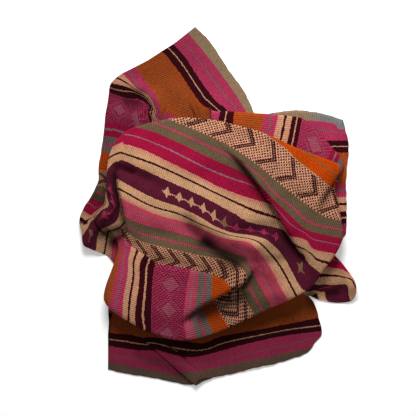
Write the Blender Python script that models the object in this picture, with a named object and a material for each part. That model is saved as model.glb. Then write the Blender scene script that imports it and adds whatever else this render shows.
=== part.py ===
# Woven wool blanket lying in a rumpled heap, seen in the photo from straight above.
# One woven panel with no lining, fringe or binding, so one solid sheet.
# Metres, +Z up, the floor at z = 0. Plan positions in the tables are photo pixels.

import bpy
import numpy as np

# Driving dimensions
pixel = 0.0025            # metres on the floor for one photo pixel
middle_x = 218.0          # photo column at x = 0
middle_y = 206.0          # photo row at y = 0
thickness = 0.003         # woven cloth
rings = 24                # grid rings from the middle of the cloth to its hem
heart_x = 215.0           # middle of the billow, where the sections start
heart_y = 225.0
heap_height = 0.066       # cloth over the middle of the billow, before the swells
floor_level = 0.0015      # middle of the cloth where it lies on the floor
neck_roll = 0.005         # half height of the hidden turn under the billow
wing_roll = 0.0035        # half height of the turns of the pleat on the right

# A row for each section from the middle of the billow out to the hem, clockwise
# from the upper corner. Whole turns are the four corners of the cloth.
# at: place round the cloth, hem_x, hem_y: pixels, hem_up: mm above the floor
# edge_x, edge_y: pixels, lift: mm to the middle of the edge roll, roll: mm radius
# tuck: part of the way back to the middle that the cloth runs under the billow
# crest_x, crest_y: pixels, wing: 1 where the pleat lies over the hem layer
section_names = (
    "at", "hem_x", "hem_y", "hem_up", "edge_x", "edge_y", "lift", "roll", "tuck",
    "crest_x", "crest_y", "wing")
sections = (
    (0.00, 195.0, 27.0, 0.0, 201.0, 119.5, 34.0, 8.0, 0.42, 206.0, 118.0, 0.0),
    (0.10, 211.5, 43.5, 0.0, 214.0, 121.0, 33.0, 7.0, 0.42, 213.0, 113.5, 0.8),
    (0.20, 227.5, 68.5, 0.0, 226.0, 123.5, 33.0, 7.0, 0.42, 223.0, 112.0, 1.0),
    (0.30, 240.0, 85.0, 0.0, 240.0, 127.0, 33.0, 7.0, 0.42, 234.0, 112.0, 1.0),
    (0.40, 250.5, 104.0, 0.0, 250.0, 129.5, 33.0, 7.0, 0.42, 246.0, 113.0, 1.0),
    (0.46, 255.0, 115.5, 0.0, 255.0, 131.0, 33.0, 7.0, 0.42, 253.0, 113.5, 1.0),
    (0.52, 257.0, 124.0, 0.0, 260.0, 132.5, 33.0, 7.0, 0.42, 258.0, 113.8, 1.0),
    (0.58, 260.0, 117.0, 0.0, 266.0, 135.0, 33.0, 7.0, 0.42, 264.0, 114.0, 1.0),
    (0.66, 270.0, 113.5, 0.0, 276.0, 139.5, 33.0, 7.0, 0.42, 276.0, 115.0, 1.0),
    (0.78, 292.0, 110.5, 0.0, 290.0, 146.0, 33.0, 7.0, 0.42, 290.0, 116.5, 1.0),
    (0.90, 316.0, 112.2, 0.0, 305.0, 152.0, 33.0, 7.0, 0.40, 303.0, 119.5, 1.0),
    (1.00, 341.5, 122.0, 0.0, 318.0, 157.0, 33.0, 7.0, 0.38, 318.0, 132.0, 1.0),
    (1.08, 348.3, 143.0, 0.0, 330.0, 161.5, 33.0, 7.0, 0.36, 331.0, 147.0, 1.0),
    (1.16, 347.0, 168.0, 0.0, 340.0, 167.5, 32.0, 6.0, 0.34, 343.0, 163.0, 1.0),
    (1.21, 346.0, 184.0, 0.0, 335.0, 179.0, 31.0, 6.0, 0.32, 338.0, 178.0, 0.5),
    (1.27, 346.3, 200.0, 0.0, 334.0, 190.0, 31.0, 7.0, 0.30, 333.0, 190.0, 0.0),
    (1.34, 346.8, 215.0, 0.0, 337.0, 203.0, 32.0, 7.0, 0.30, 339.0, 206.0, 0.0),
    (1.40, 345.5, 233.0, 0.0, 340.0, 221.0, 34.0, 8.0, 0.30, 342.0, 222.0, 0.0),
    (1.45, 338.0, 243.0, 0.0, 341.8, 236.0, 35.0, 8.0, 0.32, 340.0, 238.0, 0.0),
    (1.50, 326.0, 250.0, 0.0, 338.0, 247.0, 36.0, 8.0, 0.34, 336.0, 248.0, 0.0),
    (1.54, 334.3, 254.8, 2.0, 334.0, 254.0, 36.0, 8.0, 0.36, 334.0, 254.0, 0.0),
    (1.59, 347.0, 270.5, 8.0, 328.0, 262.0, 37.0, 8.0, 0.36, 335.0, 264.0, 0.0),
    (1.63, 354.5, 282.0, 15.0, 322.5, 269.0, 38.0, 8.0, 0.36, 335.0, 272.0, 0.0),
    (1.66, 356.0, 293.0, 12.0, 319.0, 275.0, 38.0, 8.0, 0.36, 333.0, 280.0, 0.0),
    (1.69, 350.0, 301.0, 4.0, 315.5, 280.0, 38.0, 8.0, 0.36, 328.0, 287.0, 0.0),
    (1.73, 336.0, 302.5, 0.0, 312.0, 284.5, 38.0, 8.0, 0.36, 321.0, 291.0, 0.0),
    (1.78, 320.0, 300.0, 0.0, 307.0, 289.0, 38.0, 7.0, 0.36, 312.0, 292.0, 0.0),
    (1.83, 309.0, 296.0, 0.0, 302.0, 292.0, 38.0, 7.0, 0.36, 304.0, 292.0, 0.0),
    (1.87, 314.0, 303.0, 0.0, 297.0, 294.5, 38.0, 7.0, 0.36, 302.0, 297.0, 0.0),
    (1.93, 318.8, 318.0, 0.0, 287.0, 299.5, 38.0, 7.0, 0.36, 298.0, 306.0, 0.0),
    (1.98, 321.6, 335.0, 0.0, 278.0, 303.5, 38.0, 7.0, 0.36, 292.0, 314.0, 0.0),
    (2.00, 314.0, 344.0, 0.0, 272.0, 306.0, 38.0, 7.0, 0.36, 292.0, 320.0, 0.0),
    (2.04, 307.0, 352.5, 0.0, 262.0, 310.5, 38.0, 7.0, 0.36, 282.0, 328.0, 0.0),
    (2.12, 288.0, 360.2, 0.0, 242.0, 320.0, 38.0, 7.0, 0.36, 262.0, 338.0, 0.0),
    (2.22, 262.0, 366.3, 0.0, 213.0, 332.5, 38.0, 7.0, 0.36, 232.0, 348.0, 0.0),
    (2.33, 236.0, 372.8, 0.0, 180.0, 338.5, 38.0, 7.0, 0.36, 200.0, 354.0, 0.0),
    (2.43, 216.0, 377.2, 2.5, 148.0, 330.0, 38.0, 8.0, 0.36, 170.0, 350.0, 0.0),
    (2.51, 200.5, 379.5, 6.0, 125.0, 317.5, 38.0, 9.0, 0.36, 147.0, 339.0, 0.0),
    (2.565, 195.5, 385.5, 6.5, 117.0, 312.5, 38.0, 10.0, 0.36, 136.0, 333.0, 0.0),
    (2.60, 204.0, 381.0, 3.4, 115.5, 311.5, 38.0, 10.0, 0.36, 144.0, 329.0, 0.0),
    (2.635, 212.0, 378.0, 3.0, 114.0, 310.5, 38.0, 10.0, 0.36, 148.0, 328.0, 0.0),
    (2.67, 204.0, 381.0, 0.0, 112.5, 309.5, 38.0, 10.0, 0.36, 140.0, 330.0, 0.0),
    (2.72, 190.0, 385.0, 0.0, 111.5, 308.8, 38.0, 10.0, 0.36, 132.0, 332.0, 0.0),
    (2.81, 162.0, 379.4, 0.0, 110.5, 308.0, 38.0, 10.0, 0.36, 125.0, 333.0, 0.0),
    (2.91, 133.0, 374.8, 0.0, 109.5, 306.5, 38.0, 10.0, 0.36, 117.0, 335.0, 0.0),
    (3.00, 108.0, 369.5, 0.0, 108.5, 305.0, 38.0, 10.0, 0.36, 108.5, 335.0, 0.0),
    (3.08, 108.8, 345.0, 0.0, 107.0, 303.0, 38.0, 10.0, 0.36, 109.0, 320.0, 0.0),
    (3.16, 111.5, 318.0, 0.0, 105.0, 298.0, 37.0, 10.0, 0.36, 108.0, 308.0, 0.0),
    (3.22, 113.0, 296.0, 0.0, 105.5, 291.0, 36.0, 10.0, 0.36, 110.0, 294.0, 0.0),
    (3.28, 118.0, 275.0, 0.0, 108.0, 282.0, 35.0, 10.0, 0.34, 114.0, 278.0, 0.0),
    (3.33, 114.0, 257.5, 0.0, 112.5, 270.0, 33.0, 9.0, 0.28, 114.0, 265.0, 0.0),
    (3.37, 104.0, 254.0, 1.0, 116.5, 258.0, 30.0, 8.0, 0.16, 110.0, 257.0, 0.0),
    (3.41, 94.0, 249.8, 2.0, 119.0, 247.0, 27.0, 8.0, 0.04, 106.0, 249.0, 0.0),
    (3.45, 84.5, 245.0, 3.0, 116.0, 236.5, 27.0, 8.0, -0.04, 102.0, 240.0, 0.0),
    (3.49, 81.3, 231.0, 4.0, 106.0, 226.0, 28.0, 8.0, -0.08, 96.0, 230.0, 0.0),
    (3.53, 80.0, 218.0, 4.0, 103.0, 214.0, 28.0, 8.0, -0.06, 92.0, 217.0, 0.0),
    (3.57, 84.8, 207.0, 2.0, 105.5, 203.0, 29.0, 8.0, 0.02, 96.0, 205.0, 0.0),
    (3.61, 92.0, 194.5, 0.0, 107.0, 193.0, 31.0, 8.0, 0.14, 100.0, 194.0, 0.0),
    (3.65, 97.8, 181.0, 0.0, 107.5, 181.0, 33.0, 8.0, 0.26, 102.0, 181.0, 0.0),
    (3.69, 99.0, 165.0, 0.0, 108.5, 166.0, 34.0, 8.0, 0.34, 104.0, 165.0, 0.0),
    (3.74, 102.4, 145.0, 0.0, 112.0, 151.0, 35.0, 8.0, 0.40, 108.0, 148.0, 0.0),
    (3.79, 105.2, 117.5, 0.0, 120.0, 138.0, 35.0, 8.0, 0.42, 114.0, 129.0, 0.0),
    (3.83, 108.6, 95.5, 0.0, 131.0, 129.5, 35.0, 8.0, 0.42, 122.0, 114.0, 0.0),
    (3.86, 111.2, 84.5, 0.0, 142.0, 126.0, 35.0, 8.0, 0.42, 129.0, 106.0, 0.0),
    (3.89, 119.0, 76.0, 0.0, 155.0, 122.5, 35.0, 8.0, 0.42, 140.0, 100.0, 0.0),
    (3.93, 142.0, 63.0, 0.0, 172.0, 119.5, 35.0, 8.0, 0.42, 158.0, 92.0, 0.0),
    (3.97, 172.0, 44.6, 0.0, 187.0, 118.5, 34.0, 8.0, 0.42, 180.0, 82.0, 0.0),
)

# A row for each run of a fold, ridges up and troughs down.
# layer: top is the billow, low is the cloth lying round it
# from_x, from_y, to_x, to_y: pixels, height: mm, width: pixels
swell_names = ("layer", "from_x", "from_y", "to_x", "to_y", "height", "width")
swells = (
    ("top", 236.0, 156.0, 257.0, 182.0, -8.0, 10.0),
    ("top", 257.0, 182.0, 273.0, 206.0, -11.0, 10.0),
    ("top", 273.0, 206.0, 288.0, 236.0, -11.0, 10.0),
    ("top", 288.0, 236.0, 302.0, 254.0, -8.0, 10.0),
    ("top", 182.0, 246.0, 215.0, 256.0, -8.0, 11.0),
    ("top", 215.0, 256.0, 247.0, 267.0, -14.0, 11.0),
    ("top", 236.0, 274.0, 238.0, 290.0, -10.0, 10.0),
    ("top", 252.0, 258.0, 262.0, 282.0, 8.0, 10.0),
    ("top", 262.0, 282.0, 282.0, 300.0, 6.0, 10.0),
    ("top", 318.0, 252.0, 310.0, 278.0, 8.0, 12.0),
    ("top", 121.0, 180.0, 123.0, 205.0, -13.0, 9.0),
    ("top", 123.0, 205.0, 123.0, 222.0, -14.0, 8.5),
    ("top", 112.0, 192.0, 110.0, 214.0, 7.0, 8.0),
    ("top", 112.0, 214.0, 99.0, 227.0, 8.0, 8.0),
    ("top", 118.0, 290.0, 225.0, 292.0, 10.0, 26.0),
    ("top", 132.0, 242.0, 160.0, 262.0, -9.0, 10.0),
    ("top", 160.0, 262.0, 212.0, 270.0, -9.0, 9.0),
    ("low", 99.0, 227.0, 88.0, 242.0, 8.0, 9.0),
    ("low", 122.0, 104.0, 146.0, 110.0, 15.0, 12.0),
    ("low", 130.0, 120.0, 148.0, 122.0, 9.0, 12.0),
    ("low", 208.0, 98.0, 220.0, 112.0, 7.0, 12.0),
    ("low", 186.0, 98.0, 200.0, 112.0, 6.0, 13.0),
    ("low", 344.0, 272.0, 350.0, 288.0, 10.0, 10.0),
    ("low", 338.0, 122.0, 345.0, 132.0, 3.0, 8.0),
)

# Stations along a section: how far each ring goes, from the middle to the hem
ring_stations = (
    0.0, 0.13, 0.26, 0.39, 0.51, 0.62, 0.72, 0.81, 0.90, 1.0, 1.55, 2.1, 2.65,
    3.3, 4.3, 5.0, 6.0, 6.7, 7.5, 8.5, 9.5, 10.5, 11.5, 12.5, 13.0)
wool_colour = (0.42, 0.13, 0.16, 1.0)
wool_roughness = 0.95


# Columns of a table as arrays
def column(rows, names, name):
    place = names.index(name)
    return np.array([row[place] for row in rows], dtype=float)


# Smooth curve through a column of the section table, round the whole cloth
def along(places, values, at, corners):
    count = len(places)
    low = np.searchsorted(places, at, side="right") - 1
    low = np.clip(low, 0, count - 1)
    before = (low - 1) % count
    after = (low + 1) % count
    beyond = (low + 2) % count
    start = places[low]
    stop = np.where(after == 0, places[after] + 4.0, places[after])
    left = np.where(before > low, places[before] - 4.0, places[before])
    right = np.where(beyond < low, places[beyond] + 4.0, places[beyond])
    span = stop - start
    slope = (values[after] - values[low]) / span
    slope_in = (values[after] - values[before]) / (stop - left)
    slope_out = (values[beyond] - values[low]) / (right - start)
    if corners:
        start_is_corner = np.abs(start - np.round(start)) < 1e-6
        stop_is_corner = np.abs(stop - np.round(stop)) < 1e-6
        slope_in = np.where(start_is_corner, slope, slope_in)
        slope_out = np.where(stop_is_corner, slope, slope_out)
    t = (at - start) / span
    a = values[low]
    b = slope_in * span
    c = 3.0 * (values[after] - a) - 2.0 * b - slope_out * span
    d = 2.0 * (a - values[after]) + b + slope_out * span
    return a + b * t + c * t * t + d * t * t * t


# Plan and height of every station of every section
def section_stations(at):
    places = column(sections, section_names, "at")
    got = {}
    for name in section_names[1:]:
        values = column(sections, section_names, name)
        got[name] = along(places, values, at, name.startswith("hem"))
    hem = np.stack([got["hem_x"], got["hem_y"]], axis=-1)
    edge = np.stack([got["edge_x"], got["edge_y"]], axis=-1)
    crest = np.stack([got["crest_x"], got["crest_y"]], axis=-1)
    heart = np.array([heart_x, heart_y])
    wing = np.clip(got["wing"], 0.0, 1.0)
    roll = got["roll"] * 0.001
    lift = got["lift"] * 0.001
    tuck = got["tuck"]
    hem_level = floor_level + np.maximum(got["hem_up"], 0.0) * 0.001
    reach = np.linalg.norm(edge - heart, axis=-1)
    outward = (edge - heart) / reach[..., None]
    roll_px = roll / pixel
    tucked = np.clip(tuck / 0.1, 0.0, 1.0)
    neck_px = neck_roll / pixel * tucked
    base_level = floor_level + wing * 4.0 * wing_roll
    base_level = np.maximum(base_level, np.minimum(hem_level, floor_level + 0.002))
    plans = []
    levels = []
    plans.append(heart + 0.0 * edge)
    levels.append(heap_height + 0.0 * roll)
    plans.append(edge - outward * roll_px[..., None])
    levels.append(lift + roll)
    plans.append(edge)
    levels.append(lift)
    under_px = np.where(tuck > 0.0, np.minimum(roll_px, reach * tuck), reach * tuck * 0.4)
    plans.append(edge - outward * under_px[..., None])
    levels.append(lift - roll)
    neck = reach * tuck
    plans.append(edge - outward * neck[..., None])
    levels.append(base_level + 2.0 * neck_roll)
    plans.append(edge - outward * (neck + neck_px)[..., None])
    levels.append(base_level + neck_roll)
    plans.append(edge - outward * (neck - 0.3)[..., None])
    levels.append(base_level)
    neck_plan = plans[-1]
    crest_out = crest - edge
    crest_out = crest_out / np.maximum(np.linalg.norm(crest_out, axis=-1), 1.0)[..., None]
    inner = edge - outward * (reach * 0.12)[..., None]
    fold_plans = (
        crest - crest_out * 1.6, crest, crest - crest_out * 1.6,
        inner, inner - outward * 1.4, inner)
    fold_levels = (4.0, 3.0, 2.0, 2.0, 1.0, 0.0)
    for step in range(6):
        share = (step + 1.0) / 7.0
        near = neck_plan + (crest - neck_plan) * np.minimum(share * 2.0, 1.0)
        plain = near + (hem - crest) * np.maximum(share * 2.0 - 1.0, 0.0)
        plan = plain + (fold_plans[step] - plain) * wing[..., None]
        plain_level = base_level + (hem_level - base_level) * share ** 2
        fold_level = floor_level + fold_levels[step] * wing_roll
        plans.append(plan)
        levels.append(plain_level + (fold_level - plain_level) * wing)
    plans.append(hem)
    levels.append(hem_level)
    return np.stack(plans), np.stack(levels)


# Points along a section between its stations
def section_points(station, at):
    plans, levels = section_stations(at)
    last = len(plans) - 1
    low = np.minimum(station.astype(int), last - 1)
    t = station - low
    index = np.arange(len(at))
    before = np.maximum(low - 1, 0)
    beyond = np.minimum(low + 2, last)
    p0 = plans[before, index]
    p1 = plans[low, index]
    p2 = plans[low + 1, index]
    p3 = plans[beyond, index]
    z0 = levels[before, index]
    z1 = levels[low, index]
    z2 = levels[low + 1, index]
    z3 = levels[beyond, index]
    weight = t[:, None]
    straight = p1 + (p2 - p1) * weight
    curved = p1 + 0.5 * weight * (
        p2 - p0 + weight * (2.0 * p0 - 5.0 * p1 + 4.0 * p2 - p3
                            + weight * (3.0 * (p1 - p2) + p3 - p0)))
    level_straight = z1 + (z2 - z1) * t
    level_curved = z1 + 0.5 * t * (
        z2 - z0 + t * (2.0 * z0 - 5.0 * z1 + 4.0 * z2 - z3
                       + t * (3.0 * (z1 - z2) + z3 - z0)))
    rolls = (low >= 1) & (low <= 2)
    plan = np.where(rolls[:, None], curved, straight)
    level = np.where(rolls, level_curved, level_straight)
    dome = z2 + (z1 - z2) * (1.0 - t ** 3.0)
    level = np.where(low == 0, dome, level)
    return plan, level


# Height added by the table of folds
def swell_height(layer, plan):
    total = np.zeros(len(plan))
    for name, x0, y0, x1, y1, height, width in swells:
        if name != layer:
            continue
        run = np.array([x1 - x0, y1 - y0])
        start = np.array([x0, y0])
        share = np.clip((plan - start) @ run / (run @ run), 0.0, 1.0)
        gap = np.linalg.norm(plan - start - share[:, None] * run, axis=1)
        total += height * 0.001 * np.exp(-(gap / width) ** 2)
    return total


def smooth(value, low, high):
    t = np.clip((value - low) / (high - low), 0.0, 1.0)
    return t * t * (3.0 - 2.0 * t)


# Middle surface of the cloth on a square grid
def middle_surface(count):
    steps = np.arange(-count, count + 1)
    across, down = np.meshgrid(steps, steps)
    a = across.ravel().astype(float)
    b = -down.ravel().astype(float)
    ring = np.maximum(np.abs(a), np.abs(b))
    size = np.maximum(ring, 1.0)
    at = np.zeros(len(a))
    top = (b >= ring - 0.5) & (a < ring)
    right = (a >= ring - 0.5) & (b > -ring)
    bottom = (b <= -ring + 0.5) & (a > -ring)
    left = (a <= -ring + 0.5) & (b < ring)
    at = np.where(left, 3.0 + (b / size + 1.0) / 2.0, at)
    at = np.where(bottom, 2.0 + (1.0 - a / size) / 2.0, at)
    at = np.where(right, 1.0 + (1.0 - b / size) / 2.0, at)
    at = np.where(top, (a / size + 1.0) / 2.0, at)
    at = np.where(ring < 0.5, 0.0, at) % 4.0
    station = np.interp(ring / count, np.linspace(0.0, 1.0, rings + 1), ring_stations)
    plan, level = section_points(station, at)
    on_top = 1.0 - smooth(station, 1.0, 2.6)
    lies = smooth(station, 6.0, 8.0)
    level = level + swell_height("top", plan) * on_top
    level = level + swell_height("low", plan) * lies
    x = (plan[:, 0] - middle_x) * pixel
    y = (middle_y - plan[:, 1]) * pixel
    x = x - (x.max() + x.min()) / 2.0
    y = y - (y.max() + y.min()) / 2.0
    side = 2 * count + 1
    return np.stack([x, y, level], axis=1).reshape(side, side, 3)


# Normals of the grid, up on the billow
def grid_normals(grid):
    along_a = np.gradient(grid, axis=1)
    along_b = -np.gradient(grid, axis=0)
    normal = np.cross(along_a, along_b)
    size = np.linalg.norm(normal, axis=2, keepdims=True)
    return normal / np.maximum(size, 1e-12)


# Closed sheet from the grid: face, back and hem
def build_sheet(name, grid):
    normal = grid_normals(grid)
    face = grid + normal * thickness / 2.0
    back = grid - normal * thickness / 2.0
    face[:, :, 2] = np.maximum(face[:, :, 2], 0.0)
    back[:, :, 2] = np.maximum(back[:, :, 2], 0.0)
    side = grid.shape[0]
    total = side * side
    points = np.concatenate([face.reshape(-1, 3), back.reshape(-1, 3)])
    faces = []
    for row in range(side - 1):
        for place in range(side - 1):
            a = row * side + place
            b = a + 1
            c = a + side + 1
            d = a + side
            faces.append((a, d, c))
            faces.append((a, c, b))
            faces.append((total + a, total + c, total + d))
            faces.append((total + a, total + b, total + c))
    rim = []
    rim.extend(range(side))
    rim.extend(side * row + side - 1 for row in range(1, side))
    rim.extend(side * side - 1 - place for place in range(1, side))
    rim.extend(side * (side - 1 - row) for row in range(1, side - 1))
    for place in range(len(rim)):
        a = rim[place]
        b = rim[(place + 1) % len(rim)]
        faces.append((a, b, total + b))
        faces.append((a, total + b, total + a))
    mesh = bpy.data.meshes.new(name)
    mesh.from_pydata(points.tolist(), [], faces)
    mesh.update()
    sheet = bpy.data.objects.new(name, mesh)
    bpy.context.scene.collection.objects.link(sheet)
    return sheet


def wool_material():
    wool = bpy.data.materials.new("wool")
    wool.use_nodes = True
    shader = wool.node_tree.nodes["Principled BSDF"]
    shader.inputs["Base Color"].default_value = wool_colour
    shader.inputs["Roughness"].default_value = wool_roughness
    return wool


for thing in list(bpy.data.objects):
    bpy.data.objects.remove(thing, do_unlink=True)

blanket = build_sheet("blanket", middle_surface(rings))
blanket.data.materials.append(wool_material())
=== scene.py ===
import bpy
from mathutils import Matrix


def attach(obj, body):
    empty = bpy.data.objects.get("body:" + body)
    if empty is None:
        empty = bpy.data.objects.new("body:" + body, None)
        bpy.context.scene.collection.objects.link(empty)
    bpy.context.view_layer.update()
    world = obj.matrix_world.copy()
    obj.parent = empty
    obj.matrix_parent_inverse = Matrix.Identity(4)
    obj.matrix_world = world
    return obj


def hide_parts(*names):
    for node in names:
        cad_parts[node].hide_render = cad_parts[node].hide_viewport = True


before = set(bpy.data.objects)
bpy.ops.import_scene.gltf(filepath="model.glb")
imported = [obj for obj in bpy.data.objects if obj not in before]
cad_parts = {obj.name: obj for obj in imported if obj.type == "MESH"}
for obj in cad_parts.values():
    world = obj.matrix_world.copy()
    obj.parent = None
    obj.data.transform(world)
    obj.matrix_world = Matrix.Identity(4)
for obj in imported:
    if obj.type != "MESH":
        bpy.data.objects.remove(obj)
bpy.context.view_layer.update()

import math
import bpy
import numpy as np

# A woven wool blanket lying in a rumpled heap, seen from straight above.
# Plan places in the tables are photo pixels, heights are mm.
print("frame loaded")

# where a photo pixel is on the floor
plan = {
    "pixel": 0.0025,      # metres
    "middleX": 218.0,     # photo column at x = 0
    "middleY": 206.2,     # photo row at y = 0
}

view = {
    "aimX": 208.0,        # pixel in the middle of the picture
    "aimY": 208.0,
    "picture": 416.0,     # pixels across
    "height": 5.0,        # metres above the floor
    "sensor": 36.0,       # mm
}


def onFloor(x, y):
    return (x - plan["middleX"]) * plan["pixel"], (plan["middleY"] - y) * plan["pixel"]


def makeCamera():
    data = bpy.data.cameras.new("above")
    camera = bpy.data.objects.new("above", data)
    bpy.context.scene.collection.objects.link(camera)
    data.sensor_width = view["sensor"]
    data.lens = view["sensor"] * view["height"] / (view["picture"] * plan["pixel"])
    x, y = onFloor(view["aimX"], view["aimY"])
    camera.location = (x, y, view["height"])
    camera.rotation_euler = (0.0, 0.0, 0.0)
    bpy.context.scene.camera = camera


makeCamera()
print("camera above the heap")

blanket = {
    "grid": 108,          # rings from the middle of the cloth to its hem
    "thickness": 0.0024,  # metres, as all heights here
    "heartX": 215.0,      # middle of the billow, where the sections start
    "heartY": 225.0,
    "heapHeight": 0.065,  # cloth over the middle of the billow
    "floorLevel": 0.0013, # middle of the cloth where it lies on the floor
    "neckRoll": 0.005,    # half height of the hidden turn under the billow
    "wingRoll": 0.0034,   # half height of the turns of the pleat on the right
    "tuckMore": 1.6,      # times the tuck, cloth gathered out of sight
    "pleatIn": 0.12,      # part of the way in from the edge to the pleat's inner turn
    "pleatOuter": 1.6,    # pixels by which the turns of the pleat bulge
    "pleatInner": 1.4,
    "flatWidth": 0.875,   # as it came off the loom
    "flatLength": 1.47,
}

# A row for each section from the middle of the billow out to the hem, clockwise
# from the upper corner. Whole turns are the corners of the cloth.
# at: place round the cloth, hemX, hemY: hem, hemUp: mm above the floor
# edgeX, edgeY: edge of the billow, lift: mm to its roll, roll: mm radius
# tuck: part of the way back to the middle that the cloth runs under the billow,
# below 0 it runs outward instead
# crestX, crestY: outer edge of the pleat or a place on the way, wing: 1 in the pleat
sectionNames = (
    "at", "hemX", "hemY", "hemUp", "edgeX", "edgeY", "lift", "roll", "tuck",
    "crestX", "crestY", "wing")
sections = (
    (0.00, 195, 27, 0, 201, 119.5, 34, 8, 0.42, 206, 118, 0),
    (0.10, 211.5, 43.5, 0, 214, 121, 33, 7, 0.42, 213, 113.5, 0.8),
    (0.20, 227.5, 68.5, 0, 226, 123.5, 33, 7, 0.42, 223, 112, 1),
    (0.30, 240, 85, 0, 240, 127, 33, 7, 0.42, 234, 112, 1),
    (0.40, 250.5, 104, 0, 250, 129.5, 33, 7, 0.42, 246, 113, 1),
    (0.46, 255, 115.5, 0, 255, 131, 33, 7, 0.42, 253, 113.5, 1),
    (0.52, 257, 124, 0, 260, 132.5, 33, 7, 0.42, 258, 113.8, 1),
    (0.58, 260, 117, 0, 266, 135, 33, 7, 0.42, 264, 114, 1),
    (0.66, 270, 113.5, 0, 276, 139.5, 33, 7, 0.42, 276, 115, 1),
    (0.78, 292, 110.5, 0, 290, 146, 33, 7, 0.42, 290, 116.5, 1),
    (0.90, 316, 112.2, 0, 305, 152, 33, 7, 0.40, 303, 119.5, 1),
    (1.00, 343, 120, 0, 318, 157, 33, 7, 0.38, 318, 132, 1),
    (1.08, 348.3, 143, 0, 330, 161.5, 33, 7, 0.36, 331, 147, 1),
    (1.16, 347, 168, 0, 340, 167.5, 32, 6, 0.34, 343, 163, 1),
    (1.21, 346, 184, 0, 335, 179, 31, 6, 0.32, 338, 178, 0.5),
    (1.27, 346.3, 200, 0, 334, 190, 31, 7, 0.30, 333, 190, 0),
    (1.34, 346.8, 215, 0, 337, 203, 32, 7, 0.30, 339, 206, 0),
    (1.40, 345.5, 233, 0, 340, 221, 34, 8, 0.30, 342, 222, 0),
    (1.45, 338, 243, 0, 341.8, 236, 35, 8, 0.32, 340, 238, 0),
    (1.50, 326, 250, 0, 338, 247, 36, 8, 0.34, 336, 248, 0),
    (1.54, 334.3, 254.8, 2, 334, 254, 36, 8, 0.36, 334, 254, 0),
    (1.59, 347, 270.5, 8, 328, 262, 37, 8, 0.36, 335, 264, 0),
    (1.63, 354.5, 282, 15, 322.5, 269, 38, 8, 0.36, 335, 272, 0),
    (1.66, 356, 293, 12, 319, 275, 38, 8, 0.36, 333, 280, 0),
    (1.69, 350, 301, 4, 315.5, 280, 38, 8, 0.36, 328, 287, 0),
    (1.73, 336, 302.5, 0, 312, 284.5, 38, 8, 0.36, 321, 291, 0),
    (1.78, 320, 300, 0, 307, 289, 38, 7, 0.36, 312, 292, 0),
    (1.83, 309, 296, 0, 302, 292, 38, 7, 0.36, 304, 292, 0),
    (1.87, 314, 303, 0, 297, 294.5, 38, 7, 0.36, 302, 297, 0),
    (1.93, 318.8, 318, 0, 287, 299.5, 38, 7, 0.36, 298, 306, 0),
    (1.98, 321.6, 335, 0, 278, 303.5, 38, 7, 0.36, 292, 314, 0),
    (2.00, 314, 344, 0, 272, 306, 38, 7, 0.36, 292, 320, 0),
    (2.04, 307, 352.5, 0, 262, 310.5, 38, 7, 0.36, 282, 328, 0),
    (2.12, 288, 360.2, 0, 242, 320, 38, 7, 0.36, 262, 338, 0),
    (2.22, 262, 366.3, 0, 213, 332.5, 38, 7, 0.36, 232, 348, 0),
    (2.33, 236, 372.8, 0, 180, 338.5, 38, 7, 0.36, 200, 354, 0),
    (2.43, 216, 377.2, 2.5, 148, 330, 38, 8, 0.36, 170, 350, 0),
    (2.51, 200.5, 379.5, 6, 125, 317.5, 38, 9, 0.36, 147, 339, 0),
    (2.565, 195.5, 385.5, 6.5, 117, 312.5, 38, 10, 0.36, 136, 333, 0),
    (2.60, 204, 381, 3.4, 115.5, 311.5, 38, 10, 0.36, 144, 329, 0),
    (2.635, 212, 378, 3, 114, 310.5, 38, 10, 0.36, 148, 328, 0),
    (2.67, 204, 381, 0, 112.5, 309.5, 38, 10, 0.36, 140, 330, 0),
    (2.72, 190, 385, 0, 111.5, 308.8, 38, 10, 0.36, 132, 332, 0),
    (2.81, 162, 379.4, 0, 110.5, 308, 38, 10, 0.36, 125, 333, 0),
    (2.91, 133, 374.8, 0, 109.5, 306.5, 38, 10, 0.36, 117, 335, 0),
    (3.00, 108, 369.5, 0, 108.5, 305, 38, 10, 0.36, 108.5, 335, 0),
    (3.08, 108.8, 345, 0, 107, 303, 38, 10, 0.36, 109, 320, 0),
    (3.16, 111.5, 318, 0, 105, 298, 37, 10, 0.36, 108, 308, 0),
    (3.22, 113, 296, 0, 105.5, 291, 36, 10, 0.36, 110, 294, 0),
    (3.28, 118, 275, 0, 108, 282, 35, 10, 0.34, 114, 278, 0),
    (3.33, 114, 257.5, 0, 112.5, 270, 33, 9, 0.28, 114, 265, 0),
    (3.37, 104, 254, 6, 116.5, 258, 30, 8, 0.16, 110, 257, 0),
    (3.41, 94, 249.8, 14, 119, 247, 27, 8, 0.04, 106, 249, 0),
    (3.45, 84.5, 245, 17, 116, 236.5, 27, 8, -0.04, 102, 240, 0),
    (3.49, 81.3, 231, 14, 106, 226, 28, 8, -0.08, 96, 230, 0),
    (3.53, 80, 218, 9, 103, 214, 28, 8, -0.06, 92, 217, 0),
    (3.57, 84.8, 207, 3, 105.5, 203, 29, 8, 0.02, 96, 205, 0),
    (3.61, 92, 194.5, 0, 107, 193, 31, 8, 0.14, 100, 194, 0),
    (3.65, 97.8, 181, 0, 107.5, 181, 33, 8, 0.26, 102, 181, 0),
    (3.69, 99, 165, 0, 108.5, 166, 34, 8, 0.34, 104, 165, 0),
    (3.74, 102.4, 145, 0, 112, 151, 35, 8, 0.40, 108, 148, 0),
    (3.79, 105.2, 117.5, 0, 120, 138, 35, 8, 0.42, 114, 129, 0),
    (3.83, 108.6, 95.5, 0, 131, 129.5, 35, 8, 0.42, 122, 114, 0),
    (3.86, 111.2, 84.5, 0, 142, 126, 35, 8, 0.42, 129, 106, 0),
    (3.89, 119, 76, 0, 155, 122.5, 35, 8, 0.42, 140, 100, 0),
    (3.93, 142, 63, 0, 172, 119.5, 35, 8, 0.42, 158, 92, 0),
    (3.97, 172, 44.6, 0, 187, 118.5, 34, 8, 0.42, 180, 82, 0),
)

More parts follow.
